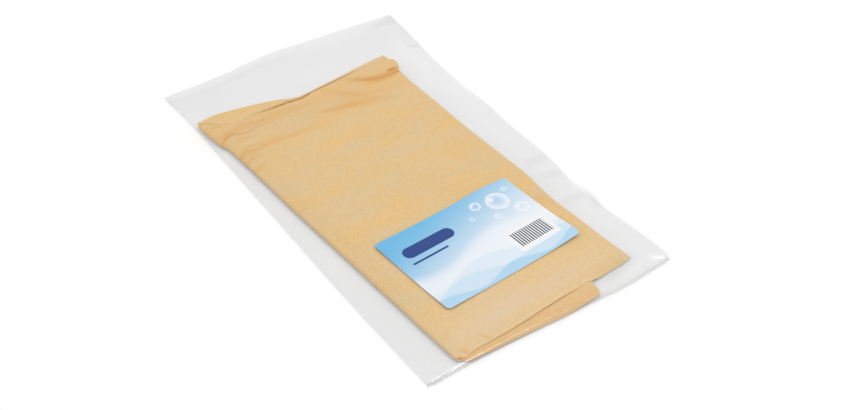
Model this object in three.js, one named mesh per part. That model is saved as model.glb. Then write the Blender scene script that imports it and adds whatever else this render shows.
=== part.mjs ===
// A chamois leather for washing windows, folded up and packed in a clear flat bag
// with a paper label stuck on the outside. Millimetres, +Z up, +Y towards the open
// mouth of the bag, origin under the middle of the bag on the surface it lies on.

import * as THREE from 'three';

// The skin, as cut
const skinLength = 474;
const skinWidth = 360;
const skinThickness = 0.55;

// How the skin is folded: once across, then in three lengthwise
const layerGap = 0.28;
const rightFoldInset = 1.5;
const tuckedLeafShort = 5;
const baseLeafExtra = 6.1;
const topLeafSetback = 6.5;
const topNearSlope = 0.08;
const topFarSlope = 0.05;
const baseFarSlope = -0.03;
const leftLean = -0.064;
const rightLean = -0.031;
const tongueEnd = 33;
const tongueRound = 10;
const tongueSetback = 13;
const tuckedNearSetback = 9;

// The bag
const filmThickness = 0.1;
const sealWidth = 1.5;
const sealThickness = 0.4;
const leftRoom = 3.2;
const rightRoom = 22.3;
const bottomRoom = 1.8;
const mouthRoom = 44.5;
const bottomFoldDepth = 2;
const lipDraw = 5.5;
const skinToFilm = 0.35;
const skinToFilmSide = 0.6;

// The label
const labelWidth = 93;
const labelHeight = 63;
const labelCorner = 3;
const labelPaper = 0.12;
const labelGlue = 0.05;
const labelFromBottom = 68.5;
const labelFromAxis = -1.4;
const labelTurn = 5.24;

// Finishes
const leather = { color: 0xe2c08a, roughness: 0.9 };
const clearFilm = { color: 0xe6e7e6, roughness: 0.2, opacity: 0.3, transparent: true };
const foldedFilm = { ...clearFilm, roughness: 0.15, opacity: 0.4 };
const sealedFilm = { ...clearFilm, roughness: 0.25, opacity: 0.5 };
const printedPaper = { color: 0xbfdcf0, roughness: 0.35 };
const driedGlue = { color: 0xe9e4d2, roughness: 0.6 };

// How many straight steps stand for a curve or a leaf
const tuckedSteps = 3;
const baseSteps = 3;
const topSteps = 6;
const rightTurnSteps = 6;
const leftTurnSteps = 8;
const farFoldSteps = 6;
const tongueRoundSteps = 6;
const filmSlopeSteps = 6;
const filmFlatSteps = 4;
const filmLengthSteps = 10;
const bottomFoldSteps = 8;
const labelCornerSteps = 5;

// Sizes that follow
const pitch = skinThickness + layerGap;
const rightTurn = pitch;
const leftTurn = 2 * pitch;
const halfPair = pitch / 2 + skinThickness / 2;
const rightOuter = rightTurn + halfPair;
const leftOuter = leftTurn + halfPair;
const skinBottom = filmThickness + skinToFilm;
const baseLevel = skinBottom + halfPair;
const tuckedLevel = baseLevel + 2 * rightTurn;
const topLevel = baseLevel + 2 * leftTurn;
const skinTop = topLevel + halfPair;
const filmLevel = skinTop + skinToFilm;
const filmTop = filmLevel + filmThickness;
const sealLevel = sealThickness - filmThickness;

// Lengths of the leaves, along the bag
const leafLength = (skinLength - Math.PI * pitch / 2) / 2 - skinThickness / 2;
const baseLength = leafLength + baseLeafExtra;
const topLength = leafLength - baseLeafExtra;
const bagLength = bottomRoom + baseLength + halfPair + mouthRoom;
const bottomY = -bagLength / 2;
const mouthY = bagLength / 2;
const foldJoint = bottomY + bottomFoldDepth;
const baseNear = bottomY + bottomRoom;
const baseFar = baseNear + baseLength;
const topNear = baseNear + topLeafSetback;
const topFar = topNear + topLength;

// Widths of the leaves, across the bag, between the centres of their turns
const turnsLength = Math.PI * (leftTurn + rightTurn);
const baseShort = rightFoldInset + rightOuter;
const topWidth = (skinWidth - turnsLength + 2 * baseShort + tuckedLeafShort) / 3;
const packSpan = leftOuter + topWidth + rightLean * topNear - leftLean * baseFar;
const bagWidth = 2 * sealWidth + leftRoom + packSpan + rightRoom;
const innerHalf = bagWidth / 2 - sealWidth;
const leftCentre = leftRoom - innerHalf + leftOuter - leftLean * baseFar;

const mix = (a, b, share) => a + (b - a) * share;
const steps = count => Array.from({ length: count + 1 }, (_, i) => i / count);
const between = count => steps(count).slice(1, -1);

const leftCentreAt = y => leftCentre + leftLean * y;
const rightEdgeAt = y => leftCentre + topWidth + rightLean * y;
const rightCentreAt = y => rightEdgeAt(y) - baseShort;

// Where the leaves end: the far folds and the cut near edges, across the bag
const topFarAt = x => topFar + topFarSlope * x;
const baseFarAt = x => baseFar + baseFarSlope * x;
const topNearAt = x => topNear + topNearSlope * x;

function baseNearAt(x) {
  const past = Math.min(Math.max((x - tongueEnd + tongueRound) / tongueRound, 0), 1);
  return baseNear + tongueSetback * (1 - Math.sqrt(1 - past * past));
}

// A closed body through a row of sections. A section holds an outer and an inner line
// of points, as many in each, and the two ends are closed between those lines.
function loft(sections) {
  const count = sections[0].outer.length;
  const around = 2 * count;
  const positions = [];
  for (const section of sections) {
    const ring = [...section.outer, ...section.inner.toReversed()];
    for (const point of ring) positions.push(...point);
  }
  const faces = [];
  for (let row = 0; row + 1 < sections.length; row += 1) {
    for (let i = 0; i < around; i += 1) {
      const a = row * around + i;
      const b = row * around + (i + 1) % around;
      faces.push(a, b + around, b, a, a + around, b + around);
    }
  }
  const last = (sections.length - 1) * around;
  for (let i = 0; i + 1 < count; i += 1) {
    const near = [i, i + 1, around - 2 - i, around - 1 - i];
    faces.push(near[0], near[1], near[2], near[0], near[2], near[3]);
    const far = near.map(index => index + last);
    faces.push(far[0], far[2], far[1], far[0], far[3], far[2]);
  }
  const geometry = new THREE.BufferGeometry();
  geometry.setAttribute('position', new THREE.Float32BufferAttribute(positions, 3));
  geometry.setIndex(faces);
  geometry.computeVertexNormals();
  return geometry;
}

function piece(name, geometry, finish) {
  const mesh = new THREE.Mesh(geometry, new THREE.MeshStandardMaterial({ metalness: 0, ...finish }));
  mesh.name = name;
  return mesh;
}

// Stations along the width of the skin, from the tucked edge to the free edge on top.
// Each has its place across the bag as a function of y, its level, the way out of the
// fold, and where the leaf ends at both ends.
function skinStations() {
  const stations = [];
  const tuckedLeft = y => leftCentreAt(y) + tuckedLeafShort;
  for (const share of steps(tuckedSteps)) {
    const placeAt = y => mix(tuckedLeft(y), rightCentreAt(y), share);
    const x = placeAt(0);
    stations.push({ placeAt, level: tuckedLevel, out: [0, 1],
      near: topNearAt(x) + tuckedNearSetback, far: mix(topFarAt(x), baseFarAt(x), share) });
  }
  const rightX = rightCentreAt(0);
  for (const share of between(rightTurnSteps)) {
    const angle = Math.PI * (0.5 - share);
    const out = [Math.cos(angle), Math.sin(angle)];
    stations.push({ placeAt: y => rightCentreAt(y) + rightTurn * out[0],
      level: baseLevel + rightTurn * (1 + out[1]), out,
      near: mix(topNearAt(rightX) + tuckedNearSetback, baseNearAt(rightX), share),
      far: baseFarAt(rightX) });
  }
  const leftX = leftCentreAt(0);
  const tongueStart = tongueEnd - tongueRound;
  const tongueShare = share => Math.cos(Math.PI / 2 * share);
  const baseStops = [
    rightX, (rightX + tongueEnd) / 2,
    ...steps(tongueRoundSteps).map(share => tongueStart + tongueRound * tongueShare(share)),
    ...steps(baseSteps).slice(1).map(share => mix(tongueStart, leftX, share)),
  ];
  for (const x of baseStops) {
    const share = (x - leftX) / (rightX - leftX);
    stations.push({ placeAt: y => mix(leftCentreAt(y), rightCentreAt(y), share),
      level: baseLevel, out: [0, -1], near: baseNearAt(x), far: baseFarAt(x) });
  }
  for (const share of between(leftTurnSteps)) {
    const angle = Math.PI * (1.5 - share);
    const out = [Math.cos(angle), Math.sin(angle)];
    stations.push({ placeAt: y => leftCentreAt(y) + leftTurn * out[0],
      level: baseLevel + leftTurn * (1 + out[1]), out,
      near: mix(baseNear, topNearAt(leftX), share),
      far: mix(baseFarAt(leftX), topFarAt(leftX), share) });
  }
  for (const share of steps(topSteps)) {
    const placeAt = y => mix(leftCentreAt(y), rightEdgeAt(y), share);
    const x = placeAt(0);
    stations.push({ placeAt, level: topLevel, out: [0, 1],
      near: topNearAt(x), far: topFarAt(x) });
  }
  return stations;
}

// The section of the doubled skin at a station: out along one face, round the far fold
// and back along the other. side is +1 for the outside of the fold and -1 for the inside.
function skinSection(station, side) {
  const radius = pitch / 2 + side * skinThickness / 2;
  const profile = [[station.near, radius]];
  for (const share of steps(farFoldSteps)) {
    const angle = Math.PI * share;
    profile.push([station.far + radius * Math.sin(angle), radius * Math.cos(angle)]);
  }
  profile.push([station.near, -radius]);
  return profile.map(([y, offset]) => [
    station.placeAt(y) + offset * station.out[0], y, station.level + offset * station.out[1],
  ]);
}

function chamoisSkin() {
  const sections = skinStations().map(station => ({
    outer: skinSection(station, 1), inner: skinSection(station, -1),
  }));
  return piece('chamois_skin', loft(sections), leather);
}

// The front film across the bag: it eases up from the left seal, lies flat over the skin
// and eases down to the right seal. The flat is wide enough for the skin to be drawn out.
function filmSection(y) {
  const skinEnd = baseFarAt(leftCentre) + halfPair;
  const leftTop = leftCentreAt(Math.min(y, skinEnd)) - leftOuter - skinToFilmSide;
  const rightTop = rightEdgeAt(topNear) + skinToFilmSide;
  const rise = share => mix(sealLevel, filmLevel, (1 - Math.cos(Math.PI * share)) / 2);
  const slope = steps(filmSlopeSteps);
  const left = slope.map(share => [mix(-innerHalf, leftTop, share), rise(share)]);
  const right = slope.map(share => [mix(rightTop, innerHalf, share), rise(1 - share)]);
  const flat = between(filmFlatSteps).map(share => [mix(leftTop, rightTop, share), filmLevel]);
  return [...left, ...flat, ...right];
}

// The same line moved out by the film's thickness, square to the film in between and
// straight up at the seals.
function outerLine(line) {
  return line.map(([x, z], i) => {
    if (i === 0 || i === line.length - 1) return [x, z + filmThickness];
    const before = new THREE.Vector2(x - line[i - 1][0], z - line[i - 1][1]).normalize();
    const after = new THREE.Vector2(line[i + 1][0] - x, line[i + 1][1] - z).normalize();
    const along = before.clone().add(after).normalize();
    const reach = filmThickness / Math.abs(along.dot(after));
    return [x - along.y * reach, z + along.x * reach];
  });
}

// The lip of the front film is drawn back where the skin holds it up
function bagFrontFilm() {
  const sections = steps(filmLengthSteps).map(share => {
    const line = filmSection(mix(mouthY, foldJoint, share));
    const edge = line.map(([, z]) => mouthY - lipDraw * (z - sealLevel) / (filmLevel - sealLevel));
    const place = ([x, z], i) => [x, mix(edge[i], foldJoint, share), z];
    return { outer: outerLine(line).map(place), inner: line.map(place) };
  });
  return piece('bag_front_film', loft(sections), clearFilm);
}

function bagBackFilm() {
  const length = mouthY - foldJoint;
  const geometry = new THREE.BoxGeometry(2 * innerHalf, length, filmThickness);
  const mesh = piece('bag_back_film', geometry, clearFilm);
  mesh.position.set(0, foldJoint + length / 2, filmThickness / 2);
  return mesh;
}

// The closed end: the film turns over in a half round from the back to the front
function bagBottomFold() {
  const line = filmSection(foldJoint);
  const upper = outerLine(line);
  const turn = (x, bottom, top, depth) => steps(bottomFoldSteps).map(share => {
    const angle = Math.PI * (share - 0.5);
    const y = foldJoint - depth * Math.cos(angle);
    return [x, y, mix(bottom, top, (1 + Math.sin(angle)) / 2)];
  });
  const sections = line.map(([x, z], i) => {
    const outer = turn(x, 0, upper[i][1], bottomFoldDepth);
    outer[outer.length - 1][0] = upper[i][0];
    return { outer, inner: turn(x, filmThickness, z, bottomFoldDepth - filmThickness) };
  });
  return piece('bag_bottom_fold', loft(sections), foldedFilm);
}

function bagSeal(name, side) {
  const geometry = new THREE.BoxGeometry(sealWidth, bagLength, sealThickness);
  const mesh = piece(name, geometry, sealedFilm);
  mesh.position.set(side * (innerHalf + sealWidth / 2), 0, sealThickness / 2);
  return mesh;
}

function labelShape() {
  const right = labelWidth / 2;
  const top = labelHeight / 2;
  const shape = new THREE.Shape();
  shape.moveTo(-right + labelCorner, -top);
  shape.lineTo(right - labelCorner, -top);
  shape.absarc(right - labelCorner, -top + labelCorner, labelCorner, -Math.PI / 2, 0);
  shape.absarc(right - labelCorner, top - labelCorner, labelCorner, 0, Math.PI / 2);
  shape.absarc(-right + labelCorner, top - labelCorner, labelCorner, Math.PI / 2, Math.PI);
  shape.absarc(-right + labelCorner, -top + labelCorner, labelCorner, Math.PI, 1.5 * Math.PI);
  return shape;
}

function labelLayer(name, depth, level, finish) {
  const settings = { depth, bevelEnabled: false, curveSegments: labelCornerSteps };
  const mesh = piece(name, new THREE.ExtrudeGeometry(labelShape(), settings), finish);
  mesh.position.z = level;
  return mesh;
}

function label() {
  const group = new THREE.Group();
  group.add(labelLayer('label_adhesive', labelGlue, filmTop, driedGlue));
  group.add(labelLayer('label_face', labelPaper, filmTop + labelGlue, printedPaper));
  group.position.set(labelFromAxis, bottomY + labelFromBottom, 0);
  group.rotation.z = THREE.MathUtils.degToRad(labelTurn);
  return group;
}

const chamoisPack = new THREE.Group();
chamoisPack.add(chamoisSkin());
chamoisPack.add(bagBackFilm(), bagFrontFilm(), bagBottomFold());
chamoisPack.add(bagSeal('bag_left_seal', -1), bagSeal('bag_right_seal', 1));
chamoisPack.add(label());

export default chamoisPack;
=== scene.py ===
import math
import bpy
import numpy as np
from mathutils import Matrix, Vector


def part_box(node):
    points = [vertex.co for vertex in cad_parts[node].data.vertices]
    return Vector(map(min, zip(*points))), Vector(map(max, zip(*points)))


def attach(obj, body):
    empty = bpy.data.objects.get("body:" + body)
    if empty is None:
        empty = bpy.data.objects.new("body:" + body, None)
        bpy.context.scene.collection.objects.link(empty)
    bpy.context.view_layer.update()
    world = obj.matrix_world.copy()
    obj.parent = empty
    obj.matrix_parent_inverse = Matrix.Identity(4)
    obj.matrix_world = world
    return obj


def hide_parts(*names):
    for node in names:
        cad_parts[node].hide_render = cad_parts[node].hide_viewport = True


# Chamois leather, folded, in a clear bag with a label. Lengths are in millimetres until a mesh is made.
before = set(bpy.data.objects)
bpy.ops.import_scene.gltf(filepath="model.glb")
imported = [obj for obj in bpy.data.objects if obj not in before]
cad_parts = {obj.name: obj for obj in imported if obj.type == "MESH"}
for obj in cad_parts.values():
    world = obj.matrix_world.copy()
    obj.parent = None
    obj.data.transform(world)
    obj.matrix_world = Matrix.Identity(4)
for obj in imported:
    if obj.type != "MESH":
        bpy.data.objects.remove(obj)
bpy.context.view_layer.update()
mm = 0.001
uvScale = 100  # millimetres in one unit of a sheet's UV map
sharpEdge = 50  # degrees between two faces, from which their edge stays sharp
white = (1.0, 1.0, 1.0, 1.0)


def nodeBox(node):  # a CAD node's box in millimetres
    low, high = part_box(node)
    return np.array(low) / mm, np.array(high) / mm


skinLow, skinHigh = nodeBox("chamois_skin")
labelLow, labelHigh = nodeBox("label_face")
print("frame loaded")


def ease(t):  # climbs smoothly from 0 to 1
    t = np.clip(t, 0, 1)
    return t * t * (3 - 2 * t)


def bell(d, width):  # 1 in the middle, about a third one width away
    return np.exp(-(d / width) ** 2)


def mix(a, b, share):
    return a + (b - a) * share


def curveThrough(at, points):  # cubic through the points, each with the slope between its neighbours
    px, py = np.array(points, float).T
    slope = np.gradient(py, px)
    i = np.clip(np.searchsorted(px, at) - 1, 0, len(px) - 2)
    span = px[i + 1] - px[i]
    t = np.clip((at - px[i]) / span, 0, 1)
    rest = 1 - t
    ends = (1 + 2 * t) * rest * rest * py[i] + t * t * (3 - 2 * t) * py[i + 1]
    return ends + t * rest * span * (rest * slope[i] - t * slope[i + 1])


def ripples(x, y, seed, count, longest, shortest):  # sum of plane waves in seeded directions, about 1 high
    rng = np.random.default_rng(seed)
    total = 0 * x
    for wave in range(count):
        length = longest * (shortest / longest) ** (wave / (count - 1))
        angle, phase = rng.uniform(0, 2 * np.pi, 2)
        along = x * np.cos(angle) + y * np.sin(angle)
        total = total + np.sin(2 * np.pi * along / length + phase) * length / longest
    return total / np.sqrt(count)


def steps(*stretches):  # numbers from each stretch's start to its end, shared ends taken once
    parts = [np.linspace(start, end, count + 1)[:-1] for start, end, count in stretches]
    return np.concatenate(parts + [[stretches[-1][1]]])


def newObject(name, data):
    made = bpy.data.objects.new(name, data)
    bpy.context.scene.collection.objects.link(made)
    return made


def shell(name, outer, inner, uv, marks=None):  # closed sheet: two grids with a rim between their edges
    rows, cols = outer.shape[:2]
    count = rows * cols
    index = np.arange(count).reshape(rows, cols)
    faces = np.stack([index[:-1, :-1], index[1:, :-1], index[1:, 1:], index[:-1, 1:]], -1).reshape(-1, 4)
    edge = np.concatenate([index[:-1, 0], index[-1, :-1], index[:0:-1, -1], index[0, :0:-1]])
    after = np.roll(edge, -1)
    rim = np.stack([after, edge, edge + count, after + count], -1)
    faces = np.concatenate([faces, faces[:, ::-1] + count, rim])
    points = np.concatenate([outer.reshape(-1, 3), inner.reshape(-1, 3)]) * mm
    mesh = bpy.data.meshes.new(name)
    mesh.from_pydata(points.tolist(), [], faces.tolist())
    flat = np.concatenate([uv.reshape(-1, 2)] * 2)
    mesh.uv_layers.new(name="sheet").data.foreach_set("uv", flat[faces.ravel()].ravel())
    for mark, values in (marks or {}).items():
        both = np.concatenate([values.ravel()] * 2)
        mesh.attributes.new(mark, "FLOAT", "POINT").data.foreach_set("value", both)
    mesh.shade_smooth()
    mesh.set_sharp_from_angle(angle=math.radians(sharpEdge))
    return newObject(name, mesh)


def place(piece, node, body, material):  # the piece stands for its CAD node
    piece.data.materials.append(material)
    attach(piece, body)
    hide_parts(node)


def lifted(grid, thickness):  # the same grid moved out square to its surface
    normal = np.cross(np.gradient(grid, axis=0), np.gradient(grid, axis=1))
    return grid + thickness * normal / np.linalg.norm(normal, axis=-1, keepdims=True)


class Wire:  # one socket of a material, so that sums on it read as Python
    def __init__(self, tree, socket=None):
        self.tree = tree
        self.socket = socket

    def add(self, kind, inputs=None, settings=None, out=0):  # any node, its sockets and its settings
        node = self.tree.nodes.new("ShaderNode" + kind)
        for name, value in (settings or {}).items():
            setattr(node, name, value)
        for key, value in (inputs or {}).items():
            if isinstance(value, Wire):
                self.tree.links.new(value.socket, node.inputs[key])
            else:
                node.inputs[key].default_value = value
        return Wire(self.tree, node.outputs[out] if len(node.outputs) else None)

    def maths(self, operation, a, b=0.0):
        return self.add("Math", {0: a, 1: b}, {"operation": operation})

    def __add__(self, other):
        return self.maths("ADD", self, other)

    def __sub__(self, other):
        return self.maths("SUBTRACT", self, other)

    def __rsub__(self, other):
        return self.maths("SUBTRACT", other, self)

    def __mul__(self, other):
        return self.maths("MULTIPLY", self, other)

    def __abs__(self):
        return self.maths("ABSOLUTE", self)

    def larger(self, other):
        return self.maths("MAXIMUM", self, other)

    def sine(self):
        return self.maths("SINE", self)

    def root(self):
        return self.maths("SQRT", self)

    def rise(self, low, high):  # 0 below low, 1 above high, smooth between
        return self.add("MapRange", {0: self, 1: low, 2: high}, {"interpolation_type": "SMOOTHSTEP"})

    def blend(self, a, b):  # colour a where this is 0, colour b where it is 1
        return self.add("Mix", {0: self, 6: a, 7: b}, {"data_type": "RGBA"}, out=2)

    def noise(self, scale, detail, roughness=0.5):  # this is the vector
        inputs = {"Vector": self, "Scale": scale, "Detail": detail, "Roughness": roughness}
        return self.add("TexNoise", inputs)

    def stretched(self, sizes):  # this is a vector, scaled along each axis
        return self.add("VectorMath", {0: self, 1: sizes}, {"operation": "MULTIPLY"})

    def mark(self, name):  # a number that the mesh carries at each point
        return self.add("Attribute", None, {"attribute_name": name}, out=2)

    def split(self):
        separate = self.add("SeparateXYZ", {0: self}).socket.node
        return [Wire(self.tree, output) for output in separate.outputs]

    __radd__ = __add__
    __rmul__ = __mul__


def material(name):
    made = bpy.data.materials.new(name)
    made.use_nodes = True
    made.node_tree.nodes.clear()
    return made, Wire(made.node_tree)


def colour(red, green, blue):  # written as on screen, from 0 to 255
    return tuple(float(c) for c in ((np.array([red, green, blue]) / 255 + 0.055) / 1.055) ** 2.4) + (1.0,)


# The bag's outline, seen from above, and how its two films lie
bag = dict(
    left=[(-146, -81), (-95, -81.9), (-55, -82), (0, -81.4), (60, -80.9), (110, -80.5), (128, -81.1),
          (145, -82), (152, -82.2)],
    right=[(-144.5, 76), (-142.6, 78.4), (-139.6, 80.4), (-134, 81.3), (-122, 81.1), (-104, 79.5),
           (-87, 77.9), (-74, 79.6), (-66, 76.9), (-58, 77.2), (-41, 79.5), (0, 79.7), (38, 80.4),
           (53, 79), (62, 79.7), (82, 80.3), (116, 83.6), (146, 85.8)],
    near=[(-84, -146.4), (-62, -145.6), (-40, -145.1), (0, -144.9), (30, -145.3), (52, -145.2),
          (66, -143.7), (84, -141.8)],
    far=[(-84, 144.4), (-70, 145.1), (-50, 145.7), (-36, 146.8), (-24, 148.7), (-12, 150.3), (-2, 151),
         (9, 150.6), (18, 149.8), (33, 149.1), (63, 147.8), (86, 146)],
    halfWidth=80, film=0.1,
    clearance=0.15, sideClearance=0.7, sideTop=1.2, leftTo=96, flatEnd=59.2, nearReach=18, nearBend=2.8,
    farRise=0.45, farRiseFrom=38, farRiseOver=36,
    rollRise=1.75, rollRiseFrom=(2, 62), rollRiseOver=(24, 18),
    slackRise=0.06, slackWaves=dict(seed=31, count=8, longest=90, shortest=26),
    buckleRise=0.5, buckleLean=(0.5, -0.25), buckleWaves=dict(seed=8, count=8, longest=60, shortest=13),
    lifts=[(-69, 9, 1.5, 13), (56, 22, 0.7, 16), (-30, 16, 0.5, 14)],  # y, half length, height, reach
    lipDraw=1.32, lipShift=0.67, lipDrawFrom=0.55, lipDrawOver=0.45,
    # painted shade: both films turn hazier, so darker, along the mouth
    lipShadeHaze=0.014, lipShadeHazeFrom=0.957, lipShadeHazeOver=0.02,
    # painted shadow: the front film turns hazier, so darker, beside the skin's left edge
    sideShadowHaze=0.013, sideShadowHazePeak=2.5, sideShadowHazeEnd=(70, 100),
    rimSlope=0.44, rimWidth=1.0, rimFade=12, rimCorner=3,
    foldHeight=[(-84, 2.5), (28, 2.5), (44, 1.3), (60, 1), (84, 1)], foldDepth=2.0, foldMiddle=0.4,
    foldStart=0.45, foldEnds=0.6, foldEndsOver=4, foldHaze=0.025, foldHazeEnd=20, foldHazeOver=20,
    foldSteps=(15, 12), foldAround=10, slopeStep=0.2,
    sealWidth=1.0, sealThickness=0.24, sealLeft=-83, sealRight=85, sealSteps=(7, 240),
    crimp=0.03, crimpPitch=3.2,
)


def bagLine(name, at):
    return curveThrough(at, bag[name])


def nearShare(x, y):  # from 0 at the bag's closed end, steep at first, to 1 where the pack has full height
    inward = (y - bagLine("near", x) - bag["foldDepth"]) / bag["nearReach"]
    return 1 - (1 - inward.clip(0, 1)) ** bag["nearBend"]


# The skin: cut as one piece, folded once across at the far end, then in three lengthwise
chamois = dict(
    length=474, width=360, thickness=0.55, gap=0.28, tuckedShort=5, rightInset=3.02,
    left=[(-143, -59.4), (-108, -61.8), (-48, -65.7), (11, -69.7), (37, -71), (56, -72.1), (71, -73.3),
          (76, -74), (80, -75.8), (87, -76.8), (96, -78), (106, -78.5)],
    turnSquare=4, leftSqueeze=0.6, leftReach=10.0, leftSqueezeEnd=(78, 102),
    right=[(-134, 63.2), (-128.5, 62.3), (-126.5, 60.9), (-125, 59.5), (-123, 58.4), (-119, 57.6),
           (-105, 56.5), (-91, 55.6), (-74, 54.2), (-40, 55), (-12, 53.4), (17, 52.1), (46, 51.7),
           (67, 50.9), (79, 51.2), (83, 51.6), (86, 53.2), (91, 54.4), (95, 54.2), (99, 55.2),
           (104, 56.2)],
    nearTop=[(-70, -142.4), (-57, -142), (-53, -140.6), (-49, -139.4), (-37, -138.5), (-21, -137.4),
             (-4, -135.5), (14, -133.5), (30, -132.2), (41, -131.7), (49, -130.6), (55, -130.1),
             (60, -129.3), (64, -128.2)],
    nearBase=[(-70, -143.1), (-52, -143.2), (-29, -143.6), (-12, -144), (6, -144.3), (14, -143.9),
              (20, -143.2), (26, -142.5), (34, -142), (60, -142)],
    nearEnd=-143.1, farAt=95.0, tuckedSetback=9, tuckedFar=2, cornerRound=2.7, cornerReach=5,
    tongueEnd=32.5, tongueRound=2.3, tongueSetback=14, tongueSlant=0.32, tongueSquare=5,
    # painted warm shade on the base leaf's tongue at the near end: its strength, where it starts and how
    # far it grows
    tongueWarmShade=0.35, tongueWarmShadeFrom=126, tongueWarmShadeOver=14,
    ragged=0.22, raggedShift=400, raggedWaves=dict(seed=21, count=7, longest=40, shortest=5),
    farTop=[(-80, 104.6), (-75, 101.4), (-69, 95), (-62, 91.6), (-48, 91.2), (-35, 90.7), (-24, 90.7),
            (-14, 90.2), (-7, 92), (6, 93.4), (18, 95), (30, 96), (44, 96.2), (56, 94.6)],
    farBase=[(-80, 105.4), (-67, 104.9), (-56, 103.6), (-46, 101.7), (-36, 99.9), (-26, 97.6),
             (-16, 93.8), (-8, 94.3), (6, 96.6), (20, 98.6), (32, 100.6), (45, 102.4), (50, 102.9),
             (53, 102.8), (57, 100)],
    stripRise=[(-80, 3.34), (-66, 3.34), (-56, 3.3), (-46, 3.25), (-36, 3), (-24, 2.7), (10, 2.6),
               (40, 2.5), (58, 2.4)],
    stripOver=[(-80, 0.9), (-46, 0.9), (-30, 1.6), (58, 1.6)],
    stripFrom=[(-80, -0.4), (-64, -0.4), (-48, -0.1), (-34, 0.2), (58, 0.2)],
    # strength along the leaf of the shade painted into the slit behind the top leaf's far fold
    slitShade=[(-60, 0.02), (-44, 0.12), (-36, 0.5), (-25, 1.2), (-14, 1), (-4, 0.6), (12, 0.5), (24, 0.5),
          (32, 0)],
    rollFront=[(8, 93), (21, 90.9), (24.4, 88), (28.2, 84.9), (33, 83), (38, 82), (44, 81.5),
               (49, 82.1), (58, 83)],
    rollHeight=[(10, 0), (22, 0.6), (32, 1.4), (42, 1.8), (56, 1.75)],
    rollCap=47.5, rollEnd=55.0, rollBehind=0.3, rollCapDrop=0.8, rollSweep=0.86, rollBias=0.85,
    nearSqueeze=0.45, droop=1.75, droopOver=9.5, cutThin=0.3, cutOver=6.0,
    cutDroop=[(-60, 0.6), (26, 0.6), (33, 0.95), (40, 1.8), (64, 2.1)],
    farCorner=(-80, 107), farCornerReach=17.0, farCornerSqueeze=0.4,
    # where the slit's painted shade lies and how wide, and its share painted on the top fold's far
    # shoulder
    slitShadeAt=1.6, slitShadeWidth=0.7, slitShadeOnFold=0.6, reliefOut=0.8, reliefDrop=0.1,
    swell=0.1, swellStretch=1.6, swellWaves=dict(seed=4, count=10, longest=70, shortest=14),
    pucker=0.035, puckerStretch=1.5, puckerWaves=dict(seed=11, count=9, longest=12, shortest=5),
)


def skinLine(name, at):
    return curveThrough(at, chamois[name])


pitch = chamois["thickness"] + chamois["gap"]
halfPair = pitch / 2 + chamois["thickness"] / 2
rightTurn, leftTurn = pitch, 2 * pitch
baseLevel = skinLow[2] + halfPair
topLevel = skinHigh[2] - halfPair
tuckedLevel = baseLevel + 2 * rightTurn

# Creases in the top leaf: depth and half width of the groove, height of its shoulders, how much dark shade
# is painted in its bottom (a wider warm shade is painted along it too), its line across the leaf and its
# strength along it. In groove, lengths are in those half widths.
groove = dict(shoulderAt=2.6, shoulderWidth=1.8, shadeWidth=0.8, shadeShare=0.65, warmShadeWidth=2.0)
creases = [
    (0.36, 0.65, 0.2, 0.35,
     [(-80, 73.5), (-76.2, 78.1), (-73.6, 80.4), (-70.2, 81.7), (-66.8, 81.9), (-61.5, 79.6),
      (-57.4, 79.6), (-51, 80.5), (-44.7, 80.9), (-31, 82), (-10, 83)],
     [(-80, 1), (-66, 1), (-52, 0.6), (-38, 0.35), (-10, 0)]),
    (0.32, 0.65, 0.17, 0.3,
     [(-78, 56.5), (-73.7, 60.4), (-71.7, 62.3), (-68.5, 64.6), (-64.8, 65.6), (-56.8, 65.9), (-51.4, 67),
      (-40, 67.4), (-20, 68)],
     [(-78, 1), (-66, 0.9), (-56, 0.5), (-44, 0.25), (-20, 0)]),
    (0.3, 0.55, 0.16, 0.3,
     [(-78, 55), (-72.3, 60.2), (-67.7, 62.4), (-60.6, 61.9), (-54, 63)],
     [(-78, 1), (-68, 0.9), (-60, 0.5), (-54, 0)]),
    (0.36, 0.6, 0.16, 0.3,
     [(-78, 49), (-72.5, 54.1), (-69.3, 55.6), (-66.9, 55.8), (-62, 55.9), (-54, 55.4)],
     [(-78, 1), (-69, 0.8), (-62, 0.4), (-54, 0)]),
    (0.26, 0.8, 0.12, 0.15,
     [(-78, 41), (-72, 46), (-66, 47), (-56, 46.5)],
     [(-78, 0.8), (-68, 0.5), (-56, 0)]),
    (0.5, 0.9, 0.1, 0.15,
     chamois["rollFront"],
     [(8, 0), (18, 0.35), (27, 0.8), (40, 1), (47, 0.9), (52, 0.3)]),
    (1.1, 0.5, 0.12, 0.8,
     [(38, 84.4), (45, 84.7), (51.2, 85.2), (58, 85.8)],
     [(38, 0), (43, 0.1), (45.5, 1), (48.5, 0.9), (52, 0.35), (58, 0.3)]),
    (0.22, 2.0, 0.1, 0.0,
     [(-24, 72), (4, 71), (30, 71.5), (52, 69)],
     [(-24, 0), (4, 0.7), (30, 0.8), (52, 0.3)]),
    (0.3, 0.6, 0.1, 0.4,
     [(-64, -138.4), (-59, -139.2), (-54, -140.6)],
     [(-64, 0), (-60.5, 1), (-57, 1), (-54, 0)]),
    (0.26, 0.55, 0.12, 0.2,
     [(-80, 96.6), (-74.2, 94.8), (-68.4, 92.8), (-62, 92)],
     [(-80, 1), (-72, 1), (-66, 0.7), (-62, 0)]),
]
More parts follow.
